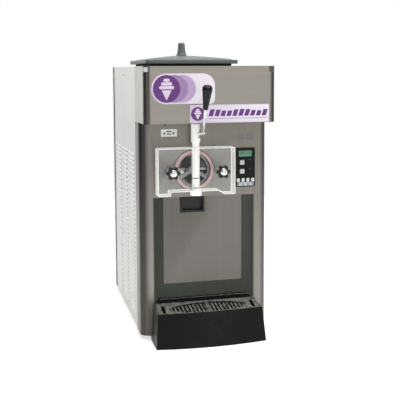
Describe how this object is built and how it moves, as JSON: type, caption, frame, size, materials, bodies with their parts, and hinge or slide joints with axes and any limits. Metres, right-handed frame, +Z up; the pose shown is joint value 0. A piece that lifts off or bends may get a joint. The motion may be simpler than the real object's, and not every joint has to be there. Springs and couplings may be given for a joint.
{
  "type": "soft-serve ice cream maker",
  "caption": "Counter-top soft-serve ice cream maker: louvred steel cabinet, hopper lid, clear dispensing door, hand lever with plunger, control panel and drip tray.",
  "frame": {"origin": "centre of the bounding box on the surface the machine stands on", "axes": "+Z up, -Y towards the person using it, +X on that person's right"},
  "size_m": [0.376, 0.756, 0.862],
  "materials": {
    "cabinet_steel": "grained stainless sheet",
    "inner_steel": "galvanised sheet",
    "tub_steel": "satin stainless",
    "bright_metal": "polished",
    "black_plastic": "fine moulded texture",
    "bezel_plastic": "smooth",
    "lid_plastic": "fine moulded texture",
    "white_plastic": "smooth acetal",
    "grey_plastic": "smooth",
    "clear_acrylic": "clear polished plate",
    "seal_pink": "moulded silicone",
    "seal_black": "moulded rubber",
    "display_green": "backlit green panel",
    "cast_metal": "painted casting",
    "copper": "finned coil block"
  },
  "bodies": {
    "cabinet": {"base_pan": "inner_steel", "front_panel": "cabinet_steel", "splash_panel": "cabinet_steel", "header_cover": "cabinet_steel", "top_deck": "cabinet_steel", "rear_panel": "cabinet_steel", "side_panel_left": "cabinet_steel", "side_panel_right": "cabinet_steel", "foot_front_left": "seal_black", "foot_front_right": "seal_black", "foot_rear_left": "seal_black", "foot_rear_right": "seal_black", "hopper": "tub_steel", "air_tube": "white_plastic", "freezing_barrel": "tub_steel", "shaft_bearing": "black_plastic", "inner_frame": "inner_steel", "gearbox": "cast_metal", "drive_belt": "seal_black", "drive_motor": "cast_metal", "compressor": "cast_metal", "condenser": "copper", "fan_motor": "cast_metal", "front_door": "clear_acrylic", "door_gasket": "seal_pink", "spigot_nozzle": "white_plastic", "door_stud_left": "bright_metal", "door_stud_right": "bright_metal", "vent_plug": "bright_metal", "lever_bracket": "tub_steel", "lever_pin": "bright_metal", "control_bezel": "bezel_plastic", "display_window": "display_green", "power_inlet": "black_plastic"},
    "lever_arm": {"lever": "bright_metal", "lever_grip": "black_plastic"},
    "plunger": {"spigot_plunger": "white_plastic", "plunger_ring_lower": "seal_black", "plunger_ring_upper": "seal_black"},
    "left_knob": {"door_knob_left": "black_plastic", "knob_cap_left": "bright_metal"},
    "right_knob": {"door_knob_right": "black_plastic", "knob_cap_right": "bright_metal"},
    "dasher": {"beater": "tub_steel", "beater_support": "grey_plastic"},
    "large_pulley": {"gearbox_pulley": "cast_metal"},
    "small_pulley": {"motor_pulley": "cast_metal"},
    "cooling_fan": {"fan_blades": "grey_plastic"},
    "lid": {"hopper_lid": "lid_plastic", "lid_gasket": "seal_black", "lid_knob": "black_plastic"},
    "tray": {"drip_tray": "black_plastic"},
    "tray_grid": {"drip_tray_insert": "black_plastic"},
    "drawer": {"drip_drawer": "black_plastic"},
    "upper_button": {"button_upper": "grey_plastic"},
    "lower_button": {"button_lower": "grey_plastic"},
    "key_one": {"key_1": "grey_plastic"},
    "key_two": {"key_2": "grey_plastic"},
    "key_three": {"key_3": "grey_plastic"},
    "key_four": {"key_4": "grey_plastic"}
  },
  "joints": [
    {"name": "lever_pull", "type": "hinge", "parent": "cabinet", "child": "lever_arm", "pos_m": [-0.031, -0.264, 0.602], "axis": [1, 0, 0], "range_deg": [0, 36]},
    {"name": "plunger_lift", "type": "slide", "parent": "cabinet", "child": "plunger", "axis": [0, 0, 1], "range_m": [0, 0.0236]},
    {"name": "left_knob_turn", "type": "hinge", "parent": "cabinet", "child": "left_knob", "pos_m": [-0.103, -0.253, 0.49], "axis": [0, -1, 0], "continuous": true},
    {"name": "right_knob_turn", "type": "hinge", "parent": "cabinet", "child": "right_knob", "pos_m": [0.041, -0.253, 0.49], "axis": [0, -1, 0], "continuous": true},
    {"name": "small_pulley_spin", "type": "hinge", "parent": "cabinet", "child": "small_pulley", "pos_m": [-0.031, 0.24, 0.33], "axis": [0, 1, 0], "continuous": true},
    {"name": "large_pulley_spin", "type": "hinge", "parent": "cabinet", "child": "large_pulley", "pos_m": [-0.031, 0.24, 0.49], "axis": [0, 1, 0], "continuous": true},
    {"name": "beater_spin", "type": "hinge", "parent": "cabinet", "child": "dasher", "pos_m": [-0.031, -0.036, 0.49], "axis": [0, 1, 0], "continuous": true},
    {"name": "fan_spin", "type": "hinge", "parent": "cabinet", "child": "cooling_fan", "pos_m": [0.08, 0.293, 0.125], "axis": [0, 1, 0], "continuous": true},
    {"name": "lid_lift", "type": "slide", "parent": "cabinet", "child": "lid", "axis": [0, 0, 1], "range_m": [0, 0.12]},
    {"name": "tray_pull", "type": "slide", "parent": "cabinet", "child": "tray", "axis": [0, -1, 0], "range_m": [0, 0.15]},
    {"name": "grid_lift", "type": "slide", "parent": "tray", "child": "tray_grid", "axis": [0, 0, 1], "range_m": [0, 0.08]},
    {"name": "drawer_pull", "type": "slide", "parent": "cabinet", "child": "drawer", "axis": [0, -1, 0], "range_m": [0, 0.1]},
    {"name": "upper_button_press", "type": "slide", "parent": "cabinet", "child": "upper_button", "axis": [0, 1, 0], "range_m": [0, 0.0015], "stiffness_N_per_m": 400},
    {"name": "lower_button_press", "type": "slide", "parent": "cabinet", "child": "lower_button", "axis": [0, 1, 0], "range_m": [0, 0.0015], "stiffness_N_per_m": 400},
    {"name": "key_one_press", "type": "slide", "parent": "cabinet", "child": "key_one", "axis": [0, 1, 0], "range_m": [0, 0.001], "stiffness_N_per_m": 300},
    {"name": "key_two_press", "type": "slide", "parent": "cabinet", "child": "key_two", "axis": [0, 1, 0], "range_m": [0, 0.001], "stiffness_N_per_m": 300},
    {"name": "key_three_press", "type": "slide", "parent": "cabinet", "child": "key_three", "axis": [0, 1, 0], "range_m": [0, 0.001], "stiffness_N_per_m": 300},
    {"name": "key_four_press", "type": "slide", "parent": "cabinet", "child": "key_four", "axis": [0, 1, 0], "range_m": [0, 0.001], "stiffness_N_per_m": 300}
  ],
  "couplings": [
    {"joint": "plunger_lift", "follows": "lever_pull", "m_per_rad": 0.0374},
    {"joint": "small_pulley_spin", "follows": "large_pulley_spin", "ratio": 2.2222},
    {"joint": "beater_spin", "follows": "large_pulley_spin", "ratio": 0.125}
  ]
}
